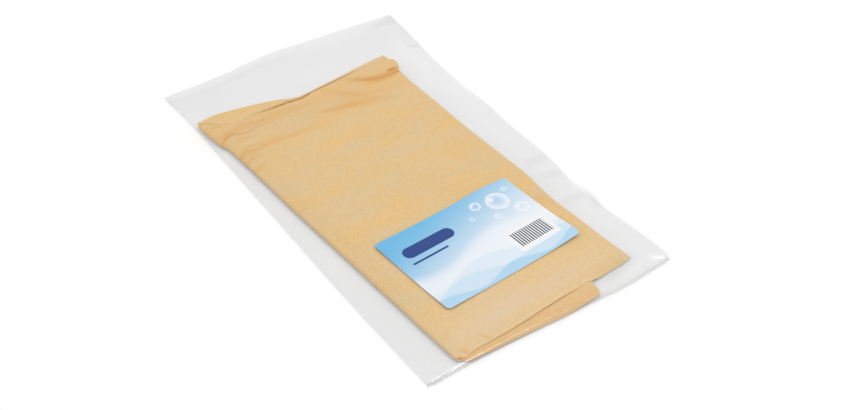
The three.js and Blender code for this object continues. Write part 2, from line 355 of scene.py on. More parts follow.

# Bands where the leather is painted a deeper orange beside its creases, partly as warm shade and bounce
# light from the folds and partly as its own mottling: half width, line and strength
bands = [
    (2.6, [(-78, 83), (-65, 84.7), (-55, 85.6), (-46, 84.6), (-34, 85.4), (-22, 85.2), (-5, 84)],
     [(-78, 0.25), (-60, 0.45), (-40, 0.35), (-22, 0.25), (-5, 0)]),
    (2.4, [(-76, 59), (-67, 59.4), (-59, 61.2), (-49, 62.5), (-40, 62.1), (-32, 61.8), (-22, 61.1),
           (0, 60)],
     [(-76, 0.15), (-66, 0.38), (-50, 0.5), (-35, 0.35), (-22, 0.18), (0, 0)]),
    (1.3, [(-70, 76), (-66, 75.4), (-59, 74.1), (-52, 73)],
     [(-70, 0), (-65, 0.4), (-60, 0.4), (-52, 0)]),
    (4.0, [(-4, 90), (0.4, 88.8), (8, 82.4), (16.6, 75.4), (24, 70)],
     [(-4, 0), (4, 0.35), (14, 0.35), (24, 0)]),
    (3.0, [(-16, 72), (-9.7, 70.7), (3, 68.3), (15.7, 65.9), (31, 61.8), (44, 58)],
     [(-16, 0), (-6, 0.4), (20, 0.4), (44, 0)]),
    (1.8, [(14, 89), (24, 87.4), (28, 85.2), (33, 83.5), (38, 82.6), (44, 82.1), (52, 82.8)],
     [(14, 0), (22, 0.5), (30, 0.9), (46, 1), (54, 0.6)]),
    (1.5, [(22, 84), (30, 80.5), (38, 79.5), (46, 79)],
     [(22, 0), (28, 0.45), (38, 0.5), (46, 0)]),
    (1.1, [(-41, -132.6), (-38.8, -135.4), (-35.6, -138.6)],
     [(-41, 0), (-39, 0.6), (-36.5, 0.6), (-35, 0)]),
    (0.9, [(-56, -136), (-52.8, -138.1), (-51, -139.4)],
     [(-56, 0), (-53.5, 0.8), (-51.5, 0.6), (-50.5, 0)]),
    (15.0, [(-80, 85), (0, 80), (60, 82)],
     [(-80, 0.2), (-40, 0.22), (10, 0.2), (40, 0.14), (60, 0.08)]),
    (4.5, [(40, -62), (47, -66), (53, -70)],
     [(41, 0), (46, 0.45), (50, 0.45), (54, 0)]),
]

# Bands where it is paler
paleBands = [
    (5.5, [(-60, -128), (-30, -127.5), (-16, -125.2), (11, -124), (40, -121)],
     [(-60, 0), (-50, 0.35), (-30, 0.9), (0, 0.9), (14, 0.6), (26, 0.4), (40, 0)]),
    (6.0, [(0, -6), (16, -5.4), (26, -9.7), (34, -16)],
     [(0, 0), (10, 0.35), (26, 0.35), (34, 0)]),
]


def bandSum(x, y, lines):  # each band has its strength on its line and fades out to both sides
    total = 0 * x
    for width, line, strength in lines:
        total = total + curveThrough(x, strength).clip(0) * bell(y - curveThrough(x, line), width)
    return total


# the tint and shade it returns are painted: warm shade beside the grooves, dark shade in their bottoms
def creaseField(x, y):  # height of all creases, each a groove between low shoulders, then tint and shade
    height, tintAndWarmShade, shade = 0 * x, 0 * x, 0 * x
    for depth, width, shoulder, paintedShade, line, along in creases:
        d, strength = y - curveThrough(x, line), curveThrough(x, along).clip(0)
        beside = bell(abs(d) - groove["shoulderAt"] * width, groove["shoulderWidth"] * width)
        height = height + strength * (shoulder * beside - depth * bell(d, width))
        shade = shade + groove["shadeShare"] * strength * paintedShade * bell(d, groove["shadeWidth"] * width)
        tintAndWarmShade = tintAndWarmShade + strength * depth * bell(d, groove["warmShadeWidth"] * width)
    return height, tintAndWarmShade + bandSum(x, y, bands), shade


def skinRelief(x, y):  # how far the pack's upper side stands above or below its even level
    height, tintAndWarmShade, shade = creaseField(x, y)
    swell = chamois["swell"] * ripples(x, chamois["swellStretch"] * y, **chamois["swellWaves"])
    pucker = chamois["pucker"] * ripples(x, chamois["puckerStretch"] * y, **chamois["puckerWaves"])
    return height + (swell + pucker) - chamois["reliefDrop"], tintAndWarmShade, shade


def rollShape(x, y):  # the puffed roll at the far right: a steep front, a round back and a round right end
    front = skinLine("rollFront", x)
    back = skinLine("farTop", x) + chamois["rollBehind"]
    s = ((y - front) / (back - front)).clip(0, 1)
    cap = ((x - chamois["rollCap"]) / (chamois["rollEnd"] - chamois["rollCap"])).clip(0, 1)
    across = np.sqrt(1 - chamois["rollCapDrop"] * cap * cap)
    along = np.sin(chamois["rollSweep"] * np.pi * s ** chamois["rollBias"])
    return skinLine("rollHeight", x).clip(0) * across * along


def leafEdges(y):  # the middles of the left and of the right turn
    left = skinLine("left", y) + leftTurn + halfPair
    return left, skinLine("right", y) - chamois["rightInset"]


def run(share, wide, level, turn, angle):  # stations of one leaf or turn, as columns
    columns = np.broadcast_arrays(np.asarray(share, float), wide, level, turn, np.radians(angle))
    return np.stack(columns, -1)


nearLeft, nearRight = leafEdges(chamois["nearEnd"])
tongueShare = (chamois["tongueEnd"] - nearLeft) / (nearRight - nearLeft)
tongueRoundShare = chamois["tongueRound"] / (nearRight - nearLeft)

# How many stations each stretch across the skin has; those of the base leaf lie closer left of baseClose
rowCount = dict(
    tucked=10, rightBend=9, pastTongue=5, tongue=12, base=13, baseLeft=25, leftBend=15, top=104)
baseClose, tongueMargin = 0.22, 0.01  # shares of a leaf's width

# Shares along the skin: out to the fold across in the upper layer, round it, and back in the lower one
alongOut = steps((0, 0.04, 14), (0.04, 0.62, 24), (0.62, 0.8, 32), (0.8, 1, 98))
alongBack = steps((1, 0.93, 46), (0.93, 0.06, 12), (0.06, 0, 6))[1:]
acrossBend = np.linspace(0, np.pi, 13)[1:-1]
topRow = -60  # a row of the grid in the middle of the top leaf


def turnAngles(count):  # even steps through a half turn in degrees, without its two ends
    return np.linspace(0, 180, count + 2)[1:-1]


def skinStations():  # across the skin: tucked leaf, right turn, base leaf, left turn, top leaf
    middleLeft, middleRight = leafEdges(0.0)
    tuckedStart = chamois["tuckedShort"] / (middleRight - middleLeft)
    tongueStart = tongueShare - tongueRoundShare
    tongue = tongueStart + tongueRoundShare * np.cos(np.linspace(0, np.pi / 2, rowCount["tongue"]))
    base = np.concatenate([np.linspace(1, tongueShare + tongueMargin, rowCount["pastTongue"]), tongue,
                           np.linspace(tongueStart, baseClose, rowCount["base"])[1:],
                           np.linspace(baseClose, 0, rowCount["baseLeft"])[1:]])
    rightBend, leftBend = turnAngles(rowCount["rightBend"]), turnAngles(rowCount["leftBend"])
    t = np.linspace(0, 1, rowCount["top"])
    top = (t + (1 - np.cos(np.pi * t)) / 2) / 2  # closer together at both edges
    return np.concatenate([
        run(np.linspace(tuckedStart, 1, rowCount["tucked"]), 0, tuckedLevel, 0, 90),
        run(np.ones(len(rightBend)), 0, baseLevel + rightTurn, rightTurn, 90 - rightBend),
        run(base, 0, baseLevel, 0, -90),
        run(np.zeros(len(leftBend)), 0, baseLevel + leftTurn, leftTurn, 270 - leftBend),
        run(top, chamois["rightInset"], topLevel, 0, 90),
    ])


def skinEnds(stations):  # near and far ends of the skin at each station
    share, wide, level, turn, angle = stations.T
    nearX = nearLeft + share * (nearRight + wide - nearLeft)
    farLeft, farRight = leafEdges(chamois["farAt"])
    farX = farLeft + share * (farRight + wide - farLeft)
    height = (level + turn * np.sin(angle) - baseLevel) / (topLevel - baseLevel)
    past = ((share - tongueShare) / tongueRoundShare + 1).clip(0, 1)
    square = chamois["tongueSquare"]
    rounding = mix(1 - (1 - past ** square) ** (1 / square), past, chamois["tongueSlant"])
    nearBase = skinLine("nearBase", nearX) + chamois["tongueSetback"] * rounding
    nearTop = skinLine("nearTop", nearX)
    farTop, farBase = skinLine("farTop", farX), skinLine("farBase", farX)
    tucked = (level == tuckedLevel) & (turn == 0)
    rightSide = turn == rightTurn
    down = np.where(rightSide, (1 - np.sin(angle)) / 2, 0)
    inside = tucked | rightSide
    near = np.where(inside, mix(nearTop + chamois["tuckedSetback"], nearBase, down),
                    mix(nearBase, nearTop, height))
    far = np.where(inside, mix(farTop - chamois["tuckedFar"], farBase, down), mix(farBase, farTop, height))
    corner = ease(1 - (nearX - nearLeft) / chamois["cornerReach"]) * np.where(inside, 0, 1)
    shifted = nearX + chamois["raggedShift"] * height
    ragged = chamois["ragged"] * ripples(shifted, 0 * nearX, **chamois["raggedWaves"])
    return near + chamois["cornerRound"] * corner * corner + ragged, far


# Past the tucked leaf the top leaf sinks onto the base, and the far corner, the left turn and the near
# end are pressed flatter
def pressedFlat(x, y, z, sinks):
    fromCut = y - skinLine("nearTop", x)
    sunk = chamois["droop"] * (1 - ease(fromCut / chamois["droopOver"]))
    sunk = sunk + skinLine("cutDroop", x) * (1 - ease(fromCut / chamois["cutOver"]))
    z = z - sunk * sinks
    cornerX, cornerY = chamois["farCorner"]
    fromCorner = np.hypot(x - cornerX, y - cornerY) / chamois["farCornerReach"]
    fromLeft = (x - skinLine("left", y)) / chamois["leftReach"]
    squeezeFrom, squeezeTo = chamois["leftSqueezeEnd"]
    atLeft = (1 - ease(fromLeft)) * (1 - ease((y - squeezeFrom) / (squeezeTo - squeezeFrom)))
    for squeeze in (1 - chamois["farCornerSqueeze"] * ease(1 - fromCorner),
                    mix(1, chamois["leftSqueeze"], atLeft),
                    mix(chamois["nearSqueeze"], 1, nearShare(x, y))):
        z = skinLow[2] + (z - skinLow[2]) * squeeze
    return z


def pathLength(a, b):  # how far each point of a line lies from its start
    return np.cumsum(np.r_[0, np.hypot(np.diff(a), np.diff(b))])


# Each station is carried along the skin, out, round the fold across and back, and then moved by what
# presses on it; side +1 is the outside of that fold, -1 its inside
def skinGrid(side):
    stations = skinStations()
    near, far = (v[:, None] for v in skinEnds(stations))
    share, wide, level, turn, angle = (v[:, None] for v in stations.T)
    radius = pitch / 2 + side * chamois["thickness"] / 2
    out, bend, back = alongOut[None], acrossBend[None], alongBack[None]
    y = np.concatenate([mix(near, far, out), far + radius * np.sin(bend), mix(near, far, back)], 1)
    offset = np.concatenate([radius + 0 * out, radius * np.cos(bend), -radius + 0 * back], 1)
    offset = offset * mix(chamois["cutThin"], 1, ease((y - near) / chamois["cutOver"]))
    upper = np.concatenate([1 + 0 * out, (1 + np.cos(bend)) / 2, 0 * back], 1)
    shoulder = np.concatenate([0 * out, np.sin(bend), 0 * back], 1)

    # the two layers of the top leaf stand apart in the roll
    onTop = (wide > 0) * 1.0
    leftEdge, rightEdge = leafEdges(y)
    flatX = leftEdge + share * (rightEdge + wide - leftEdge)
    offset = offset + onTop * upper * rollShape(flatX, y)
    outX, outZ = np.cos(angle), np.sin(angle)
    onLeftTurn = turn == leftTurn  # its lower half lies squarer on the table than a circle would
    square = chamois["turnSquare"]
    squared = -(1 - abs(outZ) ** square) ** (1 / square)
    outX = np.where(onLeftTurn & (outZ < 0), squared, outX)
    x = flatX + (turn + offset) * outX
    z = level + (turn + offset) * outZ
    height = ((level + turn * outZ - baseLevel) / (topLevel - baseLevel)).clip(0, 1)

    # the under layer comes up behind the top leaf's far fold and leaves a slit there
    fromFold = y - skinLine("farTop", x)
    under = np.where((turn == 0) & (outZ > 0), 0, 1 - height)
    behind = ease((fromFold - skinLine("stripFrom", x)) / skinLine("stripOver", x))
    z = z + under * behind * skinLine("stripRise", x)
    # shade painted into the slit and onto the top fold's far shoulder
    slitShadeBand = under * bell(fromFold - chamois["slitShadeAt"], chamois["slitShadeWidth"])
    slitShade = skinLine("slitShade", x).clip(0) * (slitShadeBand + chamois["slitShadeOnFold"] * onTop * shoulder)

    # everything above follows the creases, the more the higher it lies
    relief, tintAndWarmShade, shade = skinRelief(x, y)
    tall = ((z - skinLow[2]) / (skinHigh[2] - skinLow[2])).clip(0, 1)
    z = z + relief * tall * np.where(onLeftTurn, outZ.clip(0, 1), 1)
    x = x + chamois["reliefOut"] * relief * np.where(onLeftTurn, outX, 0)

    z = pressedFlat(x, y, z, np.where(level == tuckedLevel, 0, height))
    column = out.shape[1] // 2  # in the middle of the upper layer
    acrossLength = pathLength(x[:, column], z[:, column])[:, None]
    uv = np.stack(np.broadcast_arrays(acrossLength, pathLength(y[topRow], z[topRow])[None]), -1) / uvScale
    shown = tall * upper
    # painted warm shade on the base leaf's tongue, in front of and below the top leaf's near edge
    tongue = (level == baseLevel) * ease((-y - chamois["tongueWarmShadeFrom"]) / chamois["tongueWarmShadeOver"])
    tintAndWarmShade = tintAndWarmShade * shown + chamois["tongueWarmShade"] * tongue
    marks = {"tintAndWarmShade": tintAndWarmShade, "shade": shade * shown + slitShade, "pale": shown * bandSum(x, y, paleBands)}
    return np.stack([x, y, z], -1), uv, {mark: values.clip(0, 1) for mark, values in marks.items()}


# The leather's colours as on screen, and how much of each is laid over the two of its ground
ground = ((236, 205, 155), (243, 202, 134))
suede = dict(
    nearEnd=((246, 215, 169), 0.6), nap=((232, 189, 124), 0.36), fibre=((253, 230, 186), 0.3),
    speck=((196, 134, 68), 0.35), wrinkle=((243, 186, 100), 0.25), pale=((238, 214, 184), 0.65),
    # the last two are painted: warm shade beside the folds, partly the leather's own mottling, and dark
    # shade in the creases and the slit
    tintAndWarmShade=((234, 172, 86), 0.8), shade=((158, 86, 40), 0.9),
)

# Its noises on the UV map: stretch, scale, detail and roughness
suedeNoise = dict(
    streak=((0.8, 2.6, 1.0), 2.1, 5.0, 0.55), cloud=((0.9, 1.3, 1.0), 4.5, 4.0, 0.6),
    fibre=((1.0, 1.3, 1.0), 95.0, 3.0, 0.6), nap=((1.0, 1.0, 1.0), 38.0, 4.0, 0.65),
    speck=((1.0, 1.0, 1.0), 70.0, 1.0, 0.5), line=((0.45, 1.8, 1.0), 7.0, 2.0, 0.5),
    patch=((0.7, 1.2, 1.0), 3.2, 2.0, 0.5),
)


def chamoisMaterial():
    made, start = material("chamois")
    sheet = start.add("UVMap", None, {"uv_map": "sheet"})
    noise = {}
    for name, (stretch, scale, detail, roughness) in suedeNoise.items():
        noise[name] = sheet.stretched(stretch).noise(scale, detail, roughness)
    cloud, fibre, nap = noise["cloud"], noise["fibre"], noise["nap"]
    wrinkle = (1 - abs(noise["line"] - 0.5).rise(0.004, 0.016)) * noise["patch"].rise(0.5, 0.62)
    nearEnd = (0 - start.add("TexCoord", out=3).split()[1]).rise(0.075, 0.14)

    warm = (noise["streak"] * 0.6 + cloud * 0.4).rise(0.38, 0.62)
    base = warm.blend(*(colour(*tone) for tone in ground))
    # the tint and shade marks carry the painted warm shade and dark shade from the folds and the slit
    masks = dict(
        nearEnd=nearEnd, nap=nap.rise(0.38, 0.68), fibre=fibre.rise(0.4, 0.68),
        speck=noise["speck"].rise(0.73, 0.79), wrinkle=wrinkle,
        pale=start.mark("pale"), tintAndWarmShade=start.mark("tintAndWarmShade"), shade=start.mark("shade"))
    for name, (tone, share) in suede.items():
        base = (masks[name] * share).blend(base, colour(*tone))
    height = fibre * 0.5 + nap * 0.8 + cloud * 0.4 - wrinkle * 0.3
    bump = start.add("Bump", {"Height": height, "Strength": 0.35, "Distance": 0.0006})
    shader = start.add("BsdfPrincipled", {
        "Base Color": base, "Roughness": 0.8 + nap * 0.15, "Normal": bump, "Specular IOR Level": 0.15,
        "Sheen Weight": 0.06, "Sheen Roughness": 0.45, "Sheen Tint": (1.0, 0.9, 0.72, 1.0)})
    start.add("OutputMaterial", {"Surface": shader})
    return made


def makeChamois():
    outer, uv, marks = skinGrid(1)
    inner = skinGrid(-1)[0]
    piece = shell("chamois", outer, inner, uv, marks)
    place(piece, "chamois_skin", "skin", chamoisMaterial())
    return piece


# The label: printed paper with round corners on a layer of glue; the film bulges at some of its edges
label = dict(
    width=93, height=63, corner=2.2, paper=0.12, glue=0.05, turn=5.24, glueInset=0.25, steps=(71, 61),
    bulges=[(-45, 30, 0.7, 15), (25, 33, 1.0, 11), (46, -28, 1.5, 13), (-44, -31, 0.6, 14)],
)
labelCentre = (labelLow + labelHigh) / 2
labelTurn = math.radians(label["turn"])


def labelBulge(x, y):  # height of the film's bulges, low round hills placed on the label's own axes
    overX, overY = x - labelCentre[0], y - labelCentre[1]
    p = overX * math.cos(labelTurn) + overY * math.sin(labelTurn)
    q = overY * math.cos(labelTurn) - overX * math.sin(labelTurn)
    total = 0 * x
    for atP, atQ, height, reach in label["bulges"]:
        total = total + height * bell(np.hypot(p - atP, q - atQ), reach)
    return total


# Soft folds in the front film, and two flat streaks of painted shadow and painted reflection: from, to,
# height, half width and the haze along it, clearer below 0
ridgeSpan = (0.1, 0.9)  # the part of a sine's half wave that each follows from end to end
filmCreases = [
    ((70, 107.4), (83, 106.2), 0.4, 1.6, 0.035),
    ((60, -37), (80, -31.5), 0.8, 2.8, 0.032),
    ((60, -52), (78, -48), 0.8, 2.8, 0.032),
    ((69, -61), (72.5, -62.5), 0.5, 0.9, 0.03),
    ((58, -76.5), (76, -73), 0.8, 3.0, 0.032),
    ((76.2, -75), (75.5, -87), 0.6, 1.6, 0.03),
    # no fold: a painted shadow of the leather's near right corner on the film
    ((34, -137.5), (62, -131.5), 0.0, 3.0, 0.06),
    # no fold: a clearer, lighter streak that paints a soft reflection
    ((47, -141.3), (61, -137.7), 0.0, 0.9, -0.012),
]


def filmFolds(x, y):  # height and dullness of those folds, each a low ridge along its line
    height, haze = 0 * x, 0 * x
    for (fromX, fromY), (toX, toY), rise, width, dulled in filmCreases:
        alongX, alongY = toX - fromX, toY - fromY
        share = ((x - fromX) * alongX + (y - fromY) * alongY) / (alongX ** 2 + alongY ** 2)
        inside = share.clip(0, 1)
        d = np.hypot(x - fromX - inside * alongX, y - fromY - inside * alongY)
        ridge = bell(d, width) * np.sin(np.pi * mix(*ridgeSpan, inside))
        height = height + rise * ridge
        haze = haze + dulled * ridge
    return height, haze


# A flat facet in the front film at the right corner of the closed end, tilted so that it glints
facet = dict(
    centre=(73.4, -137.5), along=(0.875, -0.483), halfLength=4.1, halfWidth=1.2,
    endSoft=1.2, nearSoft=1.0, farSoft=5.0, height=1.9, slopeAlong=-0.136, slopeAcross=0.432,
)


def facetPlane(x, y):  # height of its plane, and a mask that is 1 on it and 0 a little way off
    overX, overY = x - facet["centre"][0], y - facet["centre"][1]
    alongX, alongY = facet["along"]
    s, c = overX * alongX + overY * alongY, overY * alongX - overX * alongY
    mask = ease((facet["halfLength"] - abs(s)) / facet["endSoft"] + 1)
    mask = mask * ease((facet["halfWidth"] + c) / facet["nearSoft"] + 1)
    mask = mask * ease((facet["halfWidth"] - c) / facet["farSoft"] + 1)
    rise = facet["slopeAlong"] * s + facet["slopeAcross"] * np.minimum(c, facet["halfWidth"])
    return facet["height"] + rise, mask


def backHeight(x, y):  # underside of the back film: it lies flat, and lifts in places along the right edge
    lift, edge = 0 * x, bagLine("right", y)
    for atY, halfLength, height, reach in bag["lifts"]:
        lift = lift + height * bell(y - atY, halfLength) * ease((x - edge + reach) / reach)
    return lift


def rimRise(x, y):  # the film's steep strip along the closed end: an even slope, level, then down
    width = bag["rimWidth"]
    inward = (y - bagLine("near", x) - bag["foldDepth"]).clip(0)
    past = (inward - width).clip(0, width)
    climb = np.minimum(inward, width) + past - past * past / (2 * width)
    return bag["rimSlope"] * climb * (1 - ease(inward / bag["rimFade"]))


# Underside of the front film: half a cosine wave up from each seal, lower at the closed end, with the
# label's bulges, the slack's buckles and folds, and the facet
def frontHeight(x, y):
    leftSeal = bagLine("left", y) + bag["sealWidth"]
    rightSeal = bagLine("right", y) - bag["sealWidth"]
    skinLeft = skinLine("left", np.minimum(y, bag["leftTo"])) - bag["sideClearance"]
    leftShare = ((x - leftSeal) / (skinLeft + bag["sideTop"] - leftSeal)).clip(0, 1)
    rightShare = ((rightSeal - x) / (rightSeal - bag["flatEnd"])).clip(0, 1)
    leftAcross = (1 - np.cos(np.pi * leftShare)) / 2
    across = leftAcross * (1 - np.cos(np.pi * rightShare)) / 2
    rim = (1 - leftAcross) * ease((x - leftSeal) / bag["rimCorner"]) * rimRise(x, y)
    top = skinHigh[2] + bag["clearance"]
    top = top + bag["farRise"] * ease((y - bag["farRiseFrom"]) / bag["farRiseOver"])
    (fromX, fromY), (overX, overY) = bag["rollRiseFrom"], bag["rollRiseOver"]
    top = top + bag["rollRise"] * ease((x - fromX) / overX) * ease((y - fromY) / overY)
    top = top + bag["slackRise"] * (1 + ripples(x, y, **bag["slackWaves"]).clip(-1, 1))
    top = top + labelBulge(x, y)
    slack = 1 - abs(2 * rightShare - 1)
    leanX, leanY = bag["buckleLean"]
    buckle = bag["buckleRise"] * ripples(leanX * x + leanY * y, y, **bag["buckleWaves"])
    buckle = buckle + filmFolds(x, y)[0]
    seal = bag["sealThickness"] - bag["film"]
    near = mix(bagLine("foldHeight", x) / top, 1, nearShare(x, y))
    height = seal + (top - seal) * across * near + rim + buckle * slack + backHeight(x, y)
    return mix(height, *facetPlane(x, y))


# Shares across the film and along it, closer together at the edges and at the closed end
acrossFilm = steps((0, 0.14, 24), (0.14, 0.84, 30), (0.84, 0.94, 24), (0.94, 1, 30))
alongFilm = steps((0, 0.03, 30), (0.03, 0.09, 26), (0.09, 1, 190))


def filmPlan():  # the film between the seals, from the closed end to the mouth
    across, along = np.meshgrid(acrossFilm, alongFilm, indexing="ij")
    x = mix(-bag["halfWidth"], bag["halfWidth"], across)
    nearY, farY = bagLine("near", x) + bag["foldDepth"], bagLine("far", x)
    y = mix(nearY, farY, along)
    x = mix(bagLine("left", y) + bag["sealWidth"], bagLine("right", y) - bag["sealWidth"], across)
    return x, y


# The films' finishes: how milky and how glossy each is
films = dict(clear_film=(0.02, 0.35), welded_film=(0.025, 0.35), folded_film=(0.03, 0.9))
milkGrey, cloudGrey = 0.3, 0.3 * 1.06  # the milky part, plain and in its clouds


def filmMaterial(name):
    haze, gloss = films[name]
    made, start = material(name)
    where = start.add("TexCoord", out=3)
    cloud = where.noise(18.0, 3.0).rise(0.35, 0.7)
    fine = where.stretched((1.0, 0.35, 1.0)).noise(160.0, 2.0)
    bump = start.add("Bump", {"Height": fine, "Strength": 0.03, "Distance": 0.0004})
    body = start.add("BsdfPrincipled", {
        "Base Color": cloud.blend((milkGrey,) * 3 + (1,), (cloudGrey,) * 3 + (1,)),
        "Roughness": 0.12 + fine * 0.1, "Normal": bump, "IOR": 1.49})
    clear = start.add("BsdfTransparent", {"Color": white})
    # painted shade: hazier, so darker, towards the mouth, where light coming in at the open lip brightens
    # the table beneath
    mouthShade = where.split()[1].rise(0.085, 0.14)
    milky = haze + cloud * (haze * 0.2) + mouthShade * (haze * 0.45) + start.mark("dull")
    film = start.add("MixShader", {0: milky, 1: clear, 2: body})
    mirror = start.add("BsdfGlossy", {"Color": white, "Roughness": 0.07, "Normal": bump})
    outside = 1 - start.add("NewGeometry", out=6)
    sheen = start.add("Fresnel", {"IOR": 1.45, "Normal": bump}) * outside * gloss
    coated = start.add("MixShader", {0: sheen, 1: film, 2: mirror})
    start.add("OutputMaterial", {"Surface": coated})
    return made


# The added haze is painted: shade along the mouth, and a shadow on the front film to the left of the skin
def addedHaze(x, y):  # along the mouth, and to the left of the skin, most beside it
    lip = bag["lipShadeHaze"] * ease((alongFilm[None] - bag["lipShadeHazeFrom"]) / bag["lipShadeHazeOver"]) + 0 * x
    outside, peak = skinLine("left", y) - x, bag["sideShadowHazePeak"]
    hazeFrom, hazeTo = bag["sideShadowHazeEnd"]
    side = bag["sideShadowHaze"] * (1 + bell(outside - peak, peak)) * ease(outside / peak)
    return lip, side * (1 - ease((y - hazeFrom) / (hazeTo - hazeFrom)))


def makeFilms(x, y):  # the back film, and the front film with its upper lip drawn back
    film = filmMaterial("clear_film")
    uv = np.stack([x, y], -1) / uvScale
    lipShadeHaze, sideShadowHaze = addedHaze(x, y)
    low = np.stack([x, y, backHeight(x, y)], -1)
    back = shell("bagBackFilm", low + [0, 0, bag["film"]], low, uv, {"dull": lipShadeHaze})
    place(back, "bag_back_film", "bag", film)

    z = frontHeight(x, y)
    lipX, lipZ = x[:, -1:], z[:, -1:]
    lipY = bagLine("far", lipX + bag["lipShift"] * lipZ) - bag["lipDraw"] * lipZ
    drawn = ease((alongFilm[None] - bag["lipDrawFrom"]) / bag["lipDrawOver"])
    low = np.stack([x, y - (y[:, -1:] - lipY) * drawn, z], -1)
    dull = lipShadeHaze + sideShadowHaze + filmFolds(x, y)[1]
    front = shell("bagFrontFilm", lifted(low, bag["film"]), low, uv, {"dull": dull})
    place(front, "bag_front_film", "bag", film)
    return front, back


# The bottom fold: a cubic from the front film's slope round to the bag's end, then a quarter round under
def makeFold(x, y):
    low, high = backHeight(x, y), frontHeight(x, y) + bag["film"]
    slope = (frontHeight(x, y + bag["slopeStep"]) + bag["film"] - high) / bag["slopeStep"]
    middle = low + bag["foldMiddle"] * (high - low)
    upperSteps, lowerSteps = bag["foldSteps"]
    t = np.linspace(0, 1, upperSteps)[None]
    ends = ease((x - x[0]) / bag["foldEndsOver"]) * ease((x[-1] - x) / bag["foldEndsOver"])
    depth = bag["foldDepth"] * mix(bag["foldEnds"], 1, ends)
    start = bag["foldStart"] * depth
    upperY = y - (3 * t * (1 - t) ** 2 * start + (3 * t * t * (1 - t) + t ** 3) * depth)
    upperZ = (high * (1 - t) ** 3 + 3 * t * (1 - t) ** 2 * (high - slope * start)
              + 3 * t * t * (1 - t) * mix(middle, high, 0.5) + t ** 3 * middle)
    turn = np.linspace(0, np.pi / 2, lowerSteps)[None, 1:]
    lowerY, lowerZ = y - depth * np.cos(turn), middle - (middle - low) * np.sin(turn)
    foldY, foldZ = (np.concatenate(pair, 1)[:, ::-1] for pair in ((upperY, lowerY), (upperZ, lowerZ)))
    grid = np.stack([x + 0 * foldZ, foldY, foldZ], -1)
    around = np.linspace(0, bag["foldAround"] / uvScale, foldZ.shape[1]) + 0 * foldZ
    uv = np.stack([grid[..., 0] / uvScale, around], -1)
    dull = bag["foldHaze"] * (1 - ease((x - bag["foldHazeEnd"]) / bag["foldHazeOver"])) + 0 * foldZ
    fold = shell("bagBottomFold", grid, lifted(grid, -bag["film"]), uv, {"dull": dull})
    place(fold, "bag_bottom_fold", "bag", filmMaterial("folded_film"))
    return fold


def makeSeal(name, node, onRight, welded):  # a narrow welded strip along one side
    acrossSteps, alongSteps = bag["sealSteps"]
    share = np.linspace(0, 1, acrossSteps)[:, None]
    atX = bag["sealRight"] if onRight else bag["sealLeft"]
    y = mix(bagLine("near", atX), bagLine("far", atX), np.linspace(0, 1, alongSteps))[None]
    outerX = bagLine("right", y) - bag["sealWidth"] if onRight else bagLine("left", y)
    x = outerX + bag["sealWidth"] * share
    y = y + 0 * x
    base = np.stack([x, y, backHeight(x, y)], -1)
    crimp = bag["crimp"] * np.sin(y * 2 * np.pi / bag["crimpPitch"]) * np.sin(np.pi * share)
    top = base + np.stack([0 * crimp, 0 * crimp, bag["sealThickness"] + crimp], -1)
    seal = shell(name, top, base, np.stack([x, y], -1) / uvScale)
    place(seal, node, "bag", welded)
    return seal


def makeBag():
    x, y = filmPlan()
    front, back = makeFilms(x, y)
    fold = makeFold(x[:, :1], y[:, :1])
    welded = filmMaterial("welded_film")
    leftSeal = makeSeal("bagLeftSeal", "bag_left_seal", False, welded)
    rightSeal = makeSeal("bagRightSeal", "bag_right_seal", True, welded)
    return front, back, fold, leftSeal, rightSeal


def labelGrid(inset):  # rows across the label, shorter where its corners are round, laid on the front film
    acrossSteps, upSteps = label["steps"]
    top, corner = label["height"] / 2 - inset, label["corner"]
    q = top * np.sin(np.linspace(-np.pi / 2, np.pi / 2, upSteps))[None]
    into = (abs(q) - top + corner).clip(0)
    half = label["width"] / 2 - inset - corner + np.sqrt((corner ** 2 - into ** 2).clip(0))
    p = np.linspace(-1, 1, acrossSteps)[:, None] * half
    q = q + 0 * p
    x = labelCentre[0] + p * math.cos(labelTurn) - q * math.sin(labelTurn)
    y = labelCentre[1] + p * math.sin(labelTurn) + q * math.cos(labelTurn)
    z = frontHeight(x, y) + bag["film"]
    return np.stack([x, y, z], -1), np.stack([p / label["width"] + 0.5, q / label["height"] + 0.5], -1)


# What is printed on the label, in millimetres from its middle: wavy edges (level, height, length, phase,
# softness, density, colour), bubbles (place, radius) and slabs (place, half sizes, corner, colour).
# A bubble's hollow and the place and size of its glint are in radii.
ink = dict(
    skyLow=(250, 252, 255), skyHigh=(112, 190, 234), skyLean=-0.35, skyFrom=-30, skyTo=42, soft=0.12,
    waves=[(-2, 5.5, 88, 0.6, 5.0, 0.8, (246, 250, 255)), (-15, 4.2, 70, 2.4, 1.2, 0.8, (226, 240, 252)),
           (-21, 3.6, 58, 4.2, 0.8, 0.9, (212, 234, 250)), (-27, 2.8, 47, 1.1, 0.5, 1.0, (184, 221, 246))],
    bubbles=[(30, 18, 7.0), (17, 22, 3.4), (38, 6, 4.2), (22, 8, 2.2), (9, 15, 1.6), (40, 24, 1.8)],
    bubbleSoft=0.15, bubbleHollow=0.2, bubbleDensity=0.75, bubble=(252, 254, 255),
    glintLeft=0.35, glintUp=0.4, glintCore=0.14, glintEnd=0.26, glintDensity=0.9, glint=(255, 255, 255),
    slabs=[(-22, 15, 17, 4.2, 4.2, (22, 66, 140)), (-27, 6.5, 12, 0.7, 0.6, (22, 66, 140)),
           (27, -14, 14, 9, 1.6, (250, 251, 252))],
    stripes=(27, -13.5, 11.6, 5.8, 0.2), stripePitch=1.6, stripeSoft=0.15, stripe=(40, 44, 54),
)


